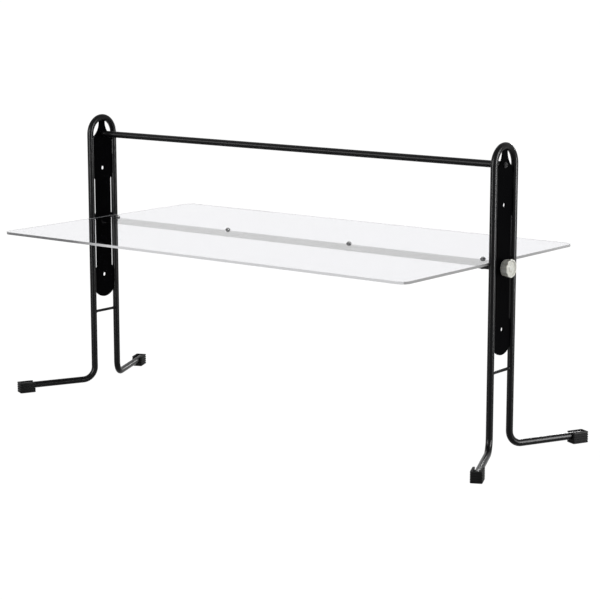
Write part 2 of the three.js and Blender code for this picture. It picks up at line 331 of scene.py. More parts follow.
@dataclass(frozen=True)
class MilkyPolymer(Finish):
    """Natural polypropylene, injection moulded: milky and waxy, so light glows through its thin ribs."""

    flow_mm: float = 7.0
    pale: str = "989892"

    def detail(self, tree: bpy.types.NodeTree, shader: bpy.types.Node, place: bpy.types.NodeSocket) -> None:
        """Light spread under the skin, with faint flow marks from the mould's gate."""
        shader.inputs["Transmission Weight"].default_value = 0.12
        shader.inputs["IOR"].default_value = PLASTIC_IOR
        shader.inputs["Subsurface Weight"].default_value = 0.35
        shader.inputs["Subsurface Radius"].default_value = (4 * MM, 3.6 * MM, 3 * MM)
        shader.inputs["Subsurface Scale"].default_value = 1.0
        flow = self.noise(tree, place, self.flow_mm, 3.0)
        self.emboss(tree, shader, flow, 0.25, 0.04)
        self.tint(tree, shader, flow, self.colour, self.pale)
        self.vary_roughness(tree, shader, flow, self.roughness - 0.06, self.roughness + 0.08)


@dataclass(frozen=True)
class TurnedNylon(Finish):
    """Black nylon turned on a lathe: waxy, with tool rings too fine to see, so they read as a soft grain."""

    grain_mm: float = 0.5
    pale: str = "161616"

    def detail(self, tree: bpy.types.NodeTree, shader: bpy.types.Node, place: bpy.types.NodeSocket) -> None:
        """The soft grain, in the bump and in the tone."""
        grain = self.noise(tree, place, self.grain_mm, 2.0)
        self.emboss(tree, shader, grain, 0.2, 0.02)
        self.tint(tree, shader, grain, self.colour, self.pale)


@dataclass(frozen=True)
class PlatedMetal(Finish):
    """Steel with a plated skin: chrome is mirror bright, and zinc is duller with a cloudy spangle."""

    cloud_mm: float = 3.0
    cloud_roughness: float = 0.1
    pale: str = "C3C6CA"

    def detail(self, tree: bpy.types.NodeTree, shader: bpy.types.Node, place: bpy.types.NodeSocket) -> None:
        """Cloudy patches in tone and gloss, as the plating bath leaves them."""
        cloud = self.noise(tree, place, self.cloud_mm, 4.0)
        self.tint(tree, shader, cloud, self.colour, self.pale)
        self.vary_roughness(tree, shader, cloud, self.roughness,
                            self.roughness + self.cloud_roughness)


@dataclass(frozen=True)
class StudioPaper(Finish):
    """Matt white background paper. Most of its white is its own glow, so it holds no tone of its own."""

    glow: float = 0.98
    fibre_mm: float = 2.5
    pale: str = "474746"

    def detail(self, tree: bpy.types.NodeTree, shader: bpy.types.Node, place: bpy.types.NodeSocket) -> None:
        """Faint matt fibre on a dark base, under the glow."""
        shader.inputs["Specular IOR Level"].default_value = 0.0
        shader.inputs["Emission Color"].default_value = linear("FFFFFF")
        shader.inputs["Emission Strength"].default_value = self.glow
        fibre = self.noise(tree, place, self.fibre_mm, 3.0)
        self.tint(tree, shader, fibre, self.colour, self.pale)


# One coat covers all the steel. It is two materials so that the tubes' gloss is set apart from the plates':
# the plates' copy is a shaded copy, with painted shade in its darker colour and almost no gloss.
POWDER_COAT = PowderCoat("black polyester powder coat on tube", "powder_coated_steel", "040405", 0.3)
SHADED_PLATE_COAT = PowderCoat("black polyester powder coat on plate", "powder_coated_steel", "020203", 0.3,
                              gloss=0.004)
FOOT_RUBBER = MouldedRubber("black pressed rubber", "moulded_foot", "060606", 0.5)
ACRYLIC = CastAcrylic("clear cast acrylic", "acrylic", "E4E4E8", 0.012)
ACRYLIC_EDGE = PolishedEdge("flame polished acrylic edge", "acrylic", "EAEAEC", 0.08)
# The ends are grey all along: painted shade for the shade seen in the sheet's end faces.
ACRYLIC_END = PolishedEdge("flame polished acrylic end", "acrylic", "BCBCBC", 0.08, clearness=0.45,
                           pale="C8C8C8", deep_colour="BCBCBC")
KNOB_POLYMER = MilkyPolymer("milky moulded polypropylene", "milky_plastic", "868680", 0.24)
NYLON = TurnedNylon("black turned nylon", "nylon", "0C0C0C", 0.45)
BLACK_ZINC = PlatedMetal("black zinc plate", "black_zinc_steel", "101012", 0.3, cloud_roughness=0.12,
                         pale="17171A")
ZINC = PlatedMetal("bright zinc plate", "zinc_plated_steel", "A7AAAE", 0.26, metallic=1.0,
                   cloud_roughness=0.14)
CHROME = PlatedMetal("polished chrome plate", "chrome", "858585", 0.06, metallic=1.0, cloud_mm=6.0,
                     cloud_roughness=0.08, pale="979797")
PAPER = StudioPaper("matt white background paper", "", "404040", 0.9)


# ------------------------------------------------------------------------------------------ mesh making


def loft(rings: Sequence[Ring], loop: bool = False) -> bmesh.types.BMesh:
    """Joins rings of equal length with quads into one closed skin.

    Args:
        rings: The rings in order, each a closed loop of points.
        loop: Whether the last ring joins the first, as on a washer; otherwise a face closes each end.

    Returns:
        The skin with its faces pointing out.
    """
    skin = bmesh.new()
    rows = [[skin.verts.new(point) for point in ring] for ring in rings]
    count = len(rows[0])
    pairs = list(zip(rows, rows[1:])) + ([(rows[-1], rows[0])] if loop else [])
    for low, high in pairs:
        for i in range(count):
            j = (i + 1) % count
            skin.faces.new((low[i], low[j], high[j], high[i]))
    if not loop:
        skin.faces.new(list(reversed(rows[0])))
        skin.faces.new(rows[-1])
    bmesh.ops.remove_doubles(skin, verts=skin.verts, dist=POLE)
    bmesh.ops.recalc_face_normals(skin, faces=skin.faces)
    return skin


def revolve(profile: Iterable[tuple[float, float]], segments: int = 48, loop: bool = False,
            limit: Callable[[float, float], float] | None = None) -> bmesh.types.BMesh:
    """Turns a profile about Z.

    Args:
        profile: Radius and height of each point, in metres.
        segments: How many steps go round.
        loop: Whether the profile closes on itself, as a washer's does.
        limit: A radius for an angle and a height that no point may pass, for flats and flutes.

    Returns:
        The turned skin.
    """
    rings = []
    for radius, height in profile:
        ring = []
        for i in range(segments):
            angle = TURN * i / segments
            r = max(radius, TINY)
            if limit is not None:
                r = min(r, limit(angle, height))
            ring.append(Vector((r * math.cos(angle), r * math.sin(angle), height)))
        rings.append(ring)
    return loft(rings, loop=loop)


def arc(centre: Vector, radius: float, start: Vector, end: Vector, angle: float, steps: int) -> list[Vector]:
    """Points round part of a circle.

    Args:
        centre: The circle's centre.
        radius: The circle's radius.
        start: The direction from the centre to the first point.
        end: The direction at a right angle to it that the arc turns towards.
        angle: How far the arc turns, in radians.
        steps: How many steps it takes.

    Returns:
        The points, both ends included.
    """
    turns = (angle * i / steps for i in range(steps + 1))
    return [centre + radius * (math.cos(t) * start + math.sin(t) * end) for t in turns]


def sweep(path: Sequence[Vector], radius: float | Callable[[int], float], sides: int) -> bmesh.types.BMesh:
    """Carries a round section along a path without twisting it.

    Args:
        path: The centre line's points.
        radius: The section's radius, or a function that gives it at each point.
        sides: How many sides the section has.

    Returns:
        The closed skin.
    """
    last = len(path) - 1
    tangents = [(path[min(i + 1, last)] - path[max(i - 1, 0)]).normalized() for i in range(last + 1)]
    across = tangents[0].orthogonal().normalized()
    rings = []
    for i, (point, tangent) in enumerate(zip(path, tangents)):
        if i:
            across = tangents[i - 1].rotation_difference(tangent) @ across
        other = tangent.cross(across)
        r = radius(i) if callable(radius) else radius
        turns = (TURN * k / sides for k in range(sides))
        rings.append([point + r * (math.cos(t) * across + math.sin(t) * other) for t in turns])
    return loft(rings)


def slab(outline: Outline, holes: Sequence[Outline], thickness: float) -> bmesh.types.BMesh:
    """Cuts a flat slab from an outline with holes, with its thickness along Z and centred on it.

    Args:
        outline: The outer edge's points.
        holes: The edge of each hole.
        thickness: The slab's thickness.

    Returns:
        The slab with sharp edges.
    """
    skin = bmesh.new()
    edges = []
    for loop in (outline, *holes):
        verts = [skin.verts.new((u, v, -thickness / 2)) for u, v in loop]
        edges += [skin.edges.new((verts[i], verts[(i + 1) % len(verts)])) for i in range(len(verts))]
    bmesh.ops.triangle_fill(skin, use_beauty=True, use_dissolve=False, edges=edges)
    raised = bmesh.ops.extrude_face_region(skin, geom=list(skin.faces))
    top = [item for item in raised["geom"] if isinstance(item, bmesh.types.BMVert)]
    bmesh.ops.translate(skin, verts=top, vec=(0, 0, thickness))
    bmesh.ops.recalc_face_normals(skin, faces=skin.faces)
    return skin


def circle(u: float, v: float, radius: float, steps: int = 40) -> Outline:
    """The points of a round hole."""
    turns = (TURN * i / steps for i in range(steps))
    return [(u + radius * math.cos(t), v + radius * math.sin(t)) for t in turns]


def rounded_box(length: float, width: float, radius: float, steps: int = 5) -> Outline:
    """The points of a rectangle with round corners, centred on the origin."""
    points = []
    for k, (su, sv) in enumerate(((1, 1), (-1, 1), (-1, -1), (1, -1))):
        cu, cv = su * (length / 2 - radius), sv * (width / 2 - radius)
        for i in range(steps + 1):
            t = (k + i / steps) * math.pi / 2
            points.append((cu + radius * math.cos(t), cv + radius * math.sin(t)))
    return points


def settle(obj: bpy.types.Object) -> None:
    """Bakes an object's modifiers into its mesh."""
    baked = bpy.data.meshes.new_from_object(obj.evaluated_get(bpy.context.evaluated_depsgraph_get()))
    obj.modifiers.clear()
    obj.data = baked


def solid_object(name: str, skin: bmesh.types.BMesh, place: Matrix | None = None, bevel: float = 0.0,
                 crease: float = 35.0) -> bpy.types.Object:
    """Turns a skin into an object with smooth curves and crisp edges.

    Args:
        name: The object's name.
        skin: The mesh; it is freed here.
        place: Where the mesh goes in the row frame.
        bevel: The radius that softens each sharp edge.
        crease: The angle in degrees from which an edge counts as sharp.

    Returns:
        The object, with its place in its mesh.
    """
    mesh = bpy.data.meshes.new(name)
    if place is not None:
        skin.transform(place)
    skin.to_mesh(mesh)
    skin.free()
    obj = bpy.data.objects.new(name, mesh)
    bpy.context.scene.collection.objects.link(obj)
    mesh.shade_smooth()
    if bevel:
        edge = obj.modifiers.new("softened_edges", "BEVEL")
        edge.width, edge.segments = bevel, 3
        edge.limit_method, edge.angle_limit = "ANGLE", math.radians(crease)
        edge.harden_normals = True
        settle(obj)
    else:
        mesh.set_sharp_from_angle(angle=math.radians(crease))
    return obj


def cut(obj: bpy.types.Object, cutter: bpy.types.Object) -> None:
    """Takes one object's shape out of another, and removes the cutter."""
    boolean = obj.modifiers.new("cut", "BOOLEAN")
    boolean.operation, boolean.solver, boolean.object = "DIFFERENCE", "EXACT", cutter
    settle(obj)
    bpy.data.objects.remove(cutter)
    clean = bmesh.new()
    clean.from_mesh(obj.data)
    # The cut leaves slivers with no area: once among its own faces, and again where those become triangles.
    bmesh.ops.dissolve_degenerate(clean, edges=clean.edges, dist=TINY)
    bmesh.ops.triangulate(clean, faces=clean.faces)
    bmesh.ops.dissolve_degenerate(clean, edges=clean.edges, dist=TINY)
    clean.to_mesh(obj.data)
    clean.free()


def dress(obj: bpy.types.Object, finish: Finish, body: str, *nodes: str) -> bpy.types.Object:
    """Gives a piece its finish, its body and the CAD nodes that it stands for.

    Args:
        obj: The piece.
        finish: What it is made of.
        body: The CAD body that it rides on.
        nodes: The CAD nodes that it replaces.

    Returns:
        The piece.
    """
    obj.data.materials.clear()
    obj.data.materials.append(finish.make())
    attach(obj, body)
    if nodes:
        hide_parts(*nodes)
    LOG.info("%s: %s, %d faces", obj.name, finish.name, len(obj.data.polygons))
    return obj


def middle(node: str) -> Vector:
    """The centre of a CAD node's box."""
    low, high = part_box(node)
    return (low + high) / 2


def along_x(origin: Vector, side: Side) -> Matrix:
    """A place whose Z axis points outward along X at one end of the guard."""
    turn = Z_AXIS.rotation_difference(side.value * X_AXIS)
    return Matrix.Translation(origin) @ turn.to_matrix().to_4x4()


# ------------------------------------------------------------------------------------------ fasteners


@dataclass(frozen=True)
class Fasteners:
    """The turned small parts, drawn about Z with their seat at zero."""

    head_d: float = 11 * MM
    head_h: float = 3.5 * MM
    socket_flats: float = 4 * MM
    socket_depth: float = 2 * MM
    shank_d: float = 6 * MM

    def washer(self, outer: float, hole: float, thickness: float) -> bmesh.types.BMesh:
        """A flat ring with rounded rims.

        Args:
            outer: The ring's outer diameter.
            hole: The hole's diameter.
            thickness: The ring's thickness.

        Returns:
            The ring, standing on zero.
        """
        soft = min(0.3 * MM, thickness / 4)
        low, high, r0, r1 = 0.0, thickness, hole / 2, outer / 2
        profile = [
            (r0 + soft, low), (r1 - soft, low), (r1 - soft * 0.3, low + soft * 0.3), (r1, low + soft),
            (r1, high - soft), (r1 - soft * 0.3, high - soft * 0.3), (r1 - soft, high), (r0 + soft, high),
            (r0 + soft * 0.3, high - soft * 0.3), (r0, high - soft), (r0, low + soft),
            (r0 + soft * 0.3, low + soft * 0.3),
        ]
        return revolve(profile, loop=True)

    def ring(self, name: str, node: str, hole: float, finish: Finish, body: str,
             side: Side | None = None) -> None:
        """Draws a washer or a bush over its CAD node.

        Args:
            name: The piece's name.
            node: The CAD node that it stands for.
            hole: The hole's diameter.
            finish: What it is made of.
            body: The body that it rides on.
            side: The end that it faces along X, or nothing when it lies flat.
        """
        low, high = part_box(node)
        centre, size = (low + high) / 2, high - low
        if side is None:
            outer, thickness = size.x, size.z
            place = Matrix.Translation((centre.x, centre.y, low.z))
        else:
            outer, thickness = size.z, size.x
            place = along_x(centre - side.value * X_AXIS * thickness / 2, side)
        dress(solid_object(name, self.washer(outer, hole, thickness), place), finish, body, node)

    def hexagon(self, flats: float) -> Callable[[float, float], float]:
        """The radius of a hexagon in each direction."""
        sector = math.pi / 3
        return lambda angle, _height: flats / 2 / math.cos((angle + sector / 2) % sector - sector / 2)

    def dome_screw(self, name: str, place: Matrix, shank: float) -> bpy.types.Object:
        """A dome-headed socket screw.

        Args:
            name: The screw's name.
            place: The frame whose Z points out of the head and whose origin is the head's seat.
            shank: The shank's length.

        Returns:
            The screw in place.
        """
        r, h, bar, tip = self.head_d / 2, self.head_h, self.shank_d / 2, 0.5 * MM
        profile = [(0.0, -shank), (bar - tip, -shank), (bar, -shank + tip), (bar, 0.0), (r - 0.2 * MM, 0.0),
                   (r, 0.3 * MM)]
        steps = 9
        for i in range(1, steps + 1):
            angle = i / steps * math.pi / 2
            profile.append((r * math.cos(angle), 0.3 * MM + (h - 0.3 * MM) * math.sin(angle)))
        screw = solid_object(name, revolve(profile, 48))
        socket_profile = [(self.socket_flats, h - self.socket_depth), (self.socket_flats, h + 2 * MM)]
        socket = revolve(socket_profile, 6, limit=self.hexagon(self.socket_flats))
        cut(screw, solid_object(f"{name}_socket", socket))
        screw.data.transform(place)
        screw.data.set_sharp_from_angle(angle=math.radians(35))
        return screw


# ------------------------------------------------------------------------------------------ end frames


@dataclass
class EndFrame:
    """One end of the guard: a bent tube, a plate between its legs, a rung and two feet."""

    side: Side
    tube_d: float = 16 * MM
    leg_spacing: float = 84 * MM
    foot_bend: float = 32 * MM
    foot_reach: float = 208 * MM
    splay: float = math.radians(25)
    foot_axis: float = 17 * MM
    foot_length: float = 41 * MM
    foot_width: float = 27.5 * MM
    foot_end_wall: float = 5 * MM
    gap: float = 0.3 * MM

    def __post_init__(self) -> None:
        """Reads where this end stands from the frame."""
        self.label = self.side.label
        self.centre = middle(f"{self.label}_plate").copy()
        self.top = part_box(f"{self.label}_frame_tube")[1].z
        self.arch_z = self.top - self.tube_d / 2 - self.leg_spacing / 2

    def build(self) -> None:
        """Makes and dresses every piece of this end."""
        self.tube()
        self.plate()
        self.rung()
        self.welds()
        for row in Row:
            self.foot(row)

    def leg(self, row: Row, z: float = 0.0) -> Vector:
        """A point on a leg's axis."""
        return Vector((self.centre.x, self.centre.y + row.value * self.leg_spacing / 2, z))

    def outward(self, row: Row) -> Vector:
        """The direction that a foot points in."""
        return Vector((self.side.value * math.sin(self.splay), row.value * math.cos(self.splay), 0))

    def half_path(self, row: Row) -> list[Vector]:
        """The centre line from a foot's end up to the start of the arch.

        Args:
            row: Which leg.

        Returns:
            The points from the foot's end upward.
        """
        out, floor = self.outward(row), self.leg(row, self.foot_axis)
        end = self.foot_reach - self.foot_end_wall - self.gap
        straight = [floor + out * (end + (self.foot_bend - end) * i / 6) for i in range(6)]
        knee = arc(floor + out * self.foot_bend + Z_AXIS * self.foot_bend, self.foot_bend, -Z_AXIS, -out,
                   math.pi / 2, 22)
        low, high = knee[-1].z, self.arch_z
        shin = [self.leg(row, low + (high - low) * i / 16) for i in range(1, 16)]
        return straight + knee + shin

    def tube(self) -> None:
        """The tube, bent in one piece from foot to foot."""
        top = Vector((self.centre.x, self.centre.y, self.arch_z))
        crown = arc(top, self.leg_spacing / 2, -Y_AXIS, Z_AXIS, math.pi, 60)
        path = self.half_path(Row.FRONT) + crown + list(reversed(self.half_path(Row.REAR)))
        tube = solid_object(f"{self.label}_bent_tube", sweep(path, self.tube_d / 2, 48))
        dress(tube, POWDER_COAT, "frame", f"{self.label}_frame_tube")

    def plate_edge(self) -> Outline:
        """One side edge of the plate, from its rounded lower end to its neck."""
        edge = self.leg_spacing / 2 - self.tube_d / 2 - self.gap
        bottom, bottom_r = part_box(f"{self.label}_plate")[0].z, 40 * MM
        neck, scallop_r, scallop_z, waist = 9.5 * MM, 42 * MM, 685 * MM, 27 * MM
        slots = ((308 * MM, 429 * MM), (447 * MM, 540 * MM))
        spread, steps = math.asin(edge / bottom_r), 14
        points = [(bottom_r * math.sin(spread * i / steps),
                   bottom + bottom_r * (1 - math.cos(spread * i / steps))) for i in range(steps + 1)]
        corner = 2.5 * MM
        for low, high in slots:
            points.append((edge, low))
            for z, turn in ((low, -1), (high, 1)):
                for i in range(6):
                    t = (i if turn < 0 else 5 - i) / 5 * math.pi / 2
                    points.append((waist + corner * (1 - math.sin(t)), z - turn * corner * (1 - math.cos(t))))
            points.append((edge, high))
        centre = neck + scallop_r
        shoulder = math.asin((centre - edge) / scallop_r)
        for i in range(25):
            t = shoulder + (math.pi / 2 - shoulder) * i / 24
            points.append((centre - scallop_r * math.sin(t), scallop_z - scallop_r * math.cos(t)))
        points.append((neck, self.arch_z + math.sqrt(edge**2 - neck**2)))
        points.append((0.0, self.arch_z + edge))
        return points

    def plate(self) -> None:
        """The laser-cut plate: scalloped neck, side slots, three pivot holes and the crossbar's bolt hole."""
        edge = self.plate_edge()
        outline = edge[1:] + [(-u, v) for u, v in reversed(edge[:-1])]
        pivot, pitch = middle("support_tube").z, 139 * MM
        pivot_r, bolt_r = 5 * MM, M6_HOLE / 2
        holes = [circle(0, pivot + k * pitch, pivot_r) for k in (-1, 0, 1)]
        holes.append(circle(0, self.arch_z, bolt_r))
        low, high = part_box(f"{self.label}_plate")
        place = Matrix.Translation((self.centre.x, self.centre.y, 0)) @ Matrix(
            ((0, 0, 1, 0), (1, 0, 0, 0), (0, 1, 0, 0), (0, 0, 0, 1)))
        skin = slab(outline, holes, high.x - low.x)
        plate = solid_object(f"{self.label}_web_plate", skin, place, bevel=0.45 * MM)
        # The plate takes the shaded copy of the coat, with its painted shade.
        dress(plate, SHADED_PLATE_COAT, "frame", f"{self.label}_plate")

    def rung(self) -> None:
        """The thin rod between the legs, with a small weld ring at each end."""
        low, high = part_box(f"{self.label}_rung")
        spot = (low + high) / 2
        r, half = (high.z - low.z) / 2, (high.y - low.y) / 2
        flare = 1.6 * MM
        profile = [(r + flare, -half), (r + flare * 0.55, -half + flare * 0.5),
                   (r + flare * 0.2, -half + flare), (r, -half + flare * 1.8)]
        profile += [(radius, -height) for radius, height in reversed(profile)]
        place = Matrix.Translation(spot) @ Z_AXIS.rotation_difference(Y_AXIS).to_matrix().to_4x4()
        rung = solid_object(f"{self.label}_cross_rod", revolve(profile, 32), place, crease=60)
        dress(rung, POWDER_COAT, "frame", f"{self.label}_rung")

    def welds(self) -> None:
        """Stitch welds along the plate's edges where they meet the legs, on both faces."""
        edge = self.leg_spacing / 2 - self.tube_d / 2
        runs = ((262 * MM, 300 * MM), (548 * MM, 600 * MM), (432 * MM, 444 * MM), (634 * MM, 649 * MM))
        neck_angle, bead_r, outset, sink = math.radians(34), 1.7 * MM, 2.0 * MM, 0.2 * MM
        beads = bmesh.new()
        for face in (-1, 1):
            x = self.centre.x + face * outset
            for row in Row:
                y = self.centre.y + row.value * (edge - sink)
                for low, high in runs:
                    count = max(4, round((high - low) / (1.5 * MM)))
                    path = [Vector((x, y, low + (high - low) * i / count)) for i in range(count + 1)]
                    self.lay_bead(beads, path, partial(self.ripple, bead_r, count))
            start = Quaternion(X_AXIS, neck_angle / 2) @ Z_AXIS
            onward = Quaternion(X_AXIS, -math.pi / 2) @ start
            crown = Vector((x, self.centre.y, self.arch_z))
            self.lay_bead(beads, arc(crown, edge - sink, start, onward, neck_angle, 12), bead_r)
        welds = solid_object(f"{self.label}_plate_welds", beads, crease=80)
        # The welds take the plates' shaded copy of the coat, with its painted shade.
        dress(welds, SHADED_PLATE_COAT, "frame")

    @staticmethod
    def ripple(radius: float, count: int, step: int) -> float:
        """A stitch bead's radius at one step: thin at both ends, with a ripple from each dip of the rod."""
        return radius * min(1.0, 0.35 + 0.4 * min(step, count - step)) * (1 + 0.1 * (step % 2))

    @staticmethod
    def lay_bead(beads: bmesh.types.BMesh, path: Sequence[Vector],
                 radius: float | Callable[[int], float]) -> None:
        """Adds one bead to a mesh that gathers them.

        Args:
            beads: The gathering mesh.
            path: The bead's centre line.
            radius: The bead's radius, or a function that gives it at each point.
        """
        bead, scratch = sweep(path, radius, 10), bpy.data.meshes.new("bead")
        bead.to_mesh(scratch)
        bead.free()
        beads.from_mesh(scratch)
        bpy.data.meshes.remove(scratch)

    def foot(self, row: Row) -> None:
        """A pressed rubber saddle: ribbed walls, a closed outer end and a groove that the tube lies in.

        Args:
            row: Which leg's foot.
        """
        node = f"{self.label}_{row.name.lower()}_foot"
        low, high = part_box(node)
        height, rib, groove, inset = high.z - low.z, 3.6 * MM, 2.0 * MM, 1.3 * MM
        corner, levels = 2.4 * MM, [(0.0, 1.2 * MM), (0.5 * MM, 0.5 * MM), (1.2 * MM, 0.0)]
        z = 4.2 * MM
        while z + groove < height - 3 * MM:
            levels += [(z, 0.0), (z + 0.2 * MM, inset), (z + groove - 0.2 * MM, inset), (z + groove, 0.0)]
            z += rib + groove
        levels += [(height - 1.0 * MM, 0.0), (height - 0.3 * MM, 0.3 * MM), (height, 1.0 * MM)]
        rings = [
            [Vector((u, v, z)) for u, v in
             rounded_box(self.foot_length - 2 * pull, self.foot_width - 2 * pull, corner)]
            for z, pull in levels
        ]
        out = self.outward(row)
        middle_reach = self.foot_reach - self.foot_length / 2
        place = Matrix.Translation(self.leg(row) + out * middle_reach) @ Matrix.Rotation(
            math.atan2(out.y, out.x), 4, "Z")
        block = solid_object(f"{node}_block", loft(rings), crease=30)
        r = self.tube_d / 2 + self.gap
        lip = 1.2 * MM
        shape = [Vector((0, r * math.cos(t), self.foot_axis + r * math.sin(t)))
                 for t in (math.pi + math.pi * i / 24 for i in range(25))]
        shape += [Vector((0, r, height)), Vector((0, r + lip, height + lip)),
                  Vector((0, -r - lip, height + lip)), Vector((0, -r, height))]
        start, end = -self.foot_length / 2 - 1 * MM, self.foot_length / 2 - self.foot_end_wall
        groove_skin = loft([[point + X_AXIS * reach for point in shape] for reach in (start, end)])
        cut(block, solid_object(f"{node}_groove", groove_skin))
        block.data.transform(place)
        block.data.set_sharp_from_angle(angle=math.radians(30))
        dress(block, FOOT_RUBBER, "frame", node)


# ------------------------------------------------------------------------------------------ bars and panel


@dataclass
class Crossbar:
    """The fixed bar over the panel, bolted through the plates."""

    gap: float = 0.3 * MM
    shank: float = 20 * MM
    fasteners: Fasteners = Fasteners()

    def build(self) -> None:
        """Makes the bar, its washers and its bolts."""
        self.bar("crossbar_rail", "crossbar_tube", "frame")
        for side in Side:
            self.end(side)

    @staticmethod
    def bar(name: str, node: str, body: str) -> None:
        """Draws a straight round tube over its CAD node.

        Args:
            name: The piece's name.
            node: The CAD node that it stands for.
            body: The body that it rides on.
        """
        low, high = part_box(node)
        centre, half, r = (low + high) / 2, (high.x - low.x) / 2, (high.z - low.z) / 2
        bore, soft = r - 1.5 * MM, 0.3 * MM
        stations = [(r, -half + soft + (2 * half - 2 * soft) * i / 12) for i in range(13)]
        profile = [(bore, -half), (r - soft, -half), *stations, (r - soft, half), (bore, half)]
        place = along_x(centre, Side.RIGHT)
        dress(solid_object(name, revolve(profile, 56, loop=True), place), POWDER_COAT, body, node)

    def end(self, side: Side) -> None:
        """The bolt and washer at one end."""
        label = f"crossbar_{side.label}"
        self.fasteners.ring(f"{label}_ring", f"{label}_washer", M6_HOLE, BLACK_ZINC, "frame", side)
        low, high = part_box(f"{label}_washer")
        seat = (low + high) / 2 + side.value * X_AXIS * ((high.x - low.x) / 2 + self.gap)
        bolt = self.fasteners.dome_screw(f"{label}_dome_bolt", along_x(seat, side), self.shank)
        dress(bolt, BLACK_ZINC, "frame", f"{label}_bolt")


@dataclass
class TiltingPanel:
    """The acrylic sheet, the tube under it and the four screws that hold it."""

    screw_count: int = 4
    corner_r: float = 22 * MM
    edge_soft: float = 0.5 * MM
    fasteners: Fasteners = Fasteners()

    def build(self) -> None:
        """Makes the sheet, its tube and its screws."""
        Crossbar.bar("support_rail", "support_tube", "panel")
        self.sheet()
        for number in range(1, self.screw_count + 1):
            self.screw(number)

    def sheet(self) -> None:
        """The clear sheet, with polished edges in their own finish."""
        low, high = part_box("acrylic_panel")
        centre, size = (low + high) / 2, high - low
        pivot_y = middle("support_tube").y
        holes = [circle(middle(f"screw_bush_{k}").x - centre.x, pivot_y - centre.y, 3.3 * MM, 28)
                 for k in range(1, self.screw_count + 1)]
        skin = slab(rounded_box(size.x, size.y, self.corner_r, 14), holes, size.z)
        place = Matrix.Translation(centre)
        sheet = solid_object("acrylic_sheet", skin, place, bevel=self.edge_soft, crease=50)
        dress(sheet, ACRYLIC, "panel", "acrylic_panel")
        # The rim takes the two edge finishes, which carry painted shade: the sides darken towards the left
        # end and the ends are grey.
        sheet.data.materials.append(ACRYLIC_EDGE.make())
        sheet.data.materials.append(ACRYLIC_END.make())
        for face in sheet.data.polygons:
            flat = abs(face.normal.z) > 0.98
            face.use_smooth = not flat
            rim = max(abs(face.center.x - centre.x) / size.x, abs(face.center.y - centre.y) / size.y)
            rim_slot = 2 if abs(face.normal.x) > abs(face.normal.y) else 1
            face.material_index = 0 if flat or rim < 0.4 else rim_slot

    def screw(self, number: int) -> None:
        """One chrome screw, its nylon washer and the threaded bush that it goes into.

        Args:
            number: The screw's place along the tube, from 1 on the left.
        """
        self.fasteners.ring(f"nylon_ring_{number}", f"panel_washer_{number}", M6_HOLE, NYLON, "panel")
        low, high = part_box(f"panel_screw_{number}")
        seat = Vector(((low.x + high.x) / 2, (low.y + high.y) / 2, high.z - self.fasteners.head_h))
        turn = Matrix.Rotation(math.radians(17 + 23 * number), 4, "Z")
        place = Matrix.Translation(seat) @ turn
        screw = self.fasteners.dome_screw(f"dome_screw_{number}", place, seat.z - low.z)
        dress(screw, CHROME, "panel", f"panel_screw_{number}")
        self.fasteners.ring(f"welded_bush_{number}", f"screw_bush_{number}", M6_HOLE, POWDER_COAT, "panel")


@dataclass
class Clamp:
    """The knob and washers that clamp one end of the support tube to its plate."""

    side: Side
    lobes: int = 10
    knob_d: float = 42 * MM
    fasteners: Fasteners = Fasteners()

    def build(self) -> None:
        """Makes the knob and both washers."""
        label = self.side.label
        self.fasteners.ring(f"{label}_steel_ring", f"{label}_knob_washer", M8_HOLE, BLACK_ZINC,
                            f"{label}_clamp", self.side)
        self.fasteners.ring(f"{label}_nylon_disc", f"{label}_friction_washer", M8_HOLE, NYLON, "panel",
                            self.side)
        self.knob()

    def knob(self) -> None:
        """The moulded knob: a fluted skirt that widens to a raised rim round a dished face."""
        node = f"{self.side.label}_knob"
        low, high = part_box(node)
        length, r = high.x - low.x, self.knob_d / 2
        # Each point has a radius, a height and its share of the flutes' depth.
        skirt = [(0.78 * r, 0.0, 0.0), (0.84 * r, 0.4 * MM, 0.2), (0.88 * r, 1.2 * MM, 0.6),
                 (0.9 * r, 3 * MM, 1.0), (0.94 * r, 10 * MM, 1.0), (0.97 * r, 15 * MM, 1.0),
                 (1.0 * r, 17.2 * MM, 0.8),
                 (0.995 * r, 18.6 * MM, 0.5), (0.97 * r, 19.5 * MM, 0.25), (0.93 * r, 20 * MM, 0.1)]
        face = [(0.86 * r, 20 * MM), (0.82 * r, 19.6 * MM), (0.79 * r, 18.6 * MM), (0.76 * r, 17.4 * MM),
                (0.7 * r, 17 * MM), (0.42 * r, 16.8 * MM), (0.38 * r, 17.1 * MM), (0.35 * r, 18.3 * MM),
                (0.31 * r, 18.8 * MM), (0.0, 19.1 * MM)]
        profile = skirt + [(radius, height, 0.0) for radius, height in face]
        segments, flute = self.lobes * 16, 2.0 * MM
        rings = []
        for radius, height, share in profile:
            ring = []
            for i in range(segments):
                angle = TURN * i / segments
                dip = (0.5 - 0.5 * math.cos(self.lobes * angle)) ** 1.5
                web = 0.5 + 0.5 * math.cos(self.lobes * angle)
                radial = max(radius - flute * share * dip, TINY)
                lift = 0.5 * MM * web if 0.45 * r < radius < 0.75 * r and height < 17.2 * MM else 0.0
                ring.append(Vector((radial * math.cos(angle), radial * math.sin(angle), height + lift)))
            rings.append(ring)
        inner = (low + high) / 2 - self.side.value * X_AXIS * length / 2
        place = along_x(inner, self.side)
        knob = solid_object(f"{self.side.label}_fluted_knob", loft(rings), place, crease=50)
        dress(knob, KNOB_POLYMER, f"{self.side.label}_clamp", node)


def dress_hidden_steel() -> None:
    """Gives the plugs and studs, whose CAD shape is right, their plated finish."""
    for name, node in frame["nodes"].items():
        if name.endswith("_plug") or name.endswith("_stud"):
            node.data.materials.clear()
            node.data.materials.append(ZINC.make())
            LOG.info("%s: %s", name, ZINC.name)


# ------------------------------------------------------------------------------------------ studio


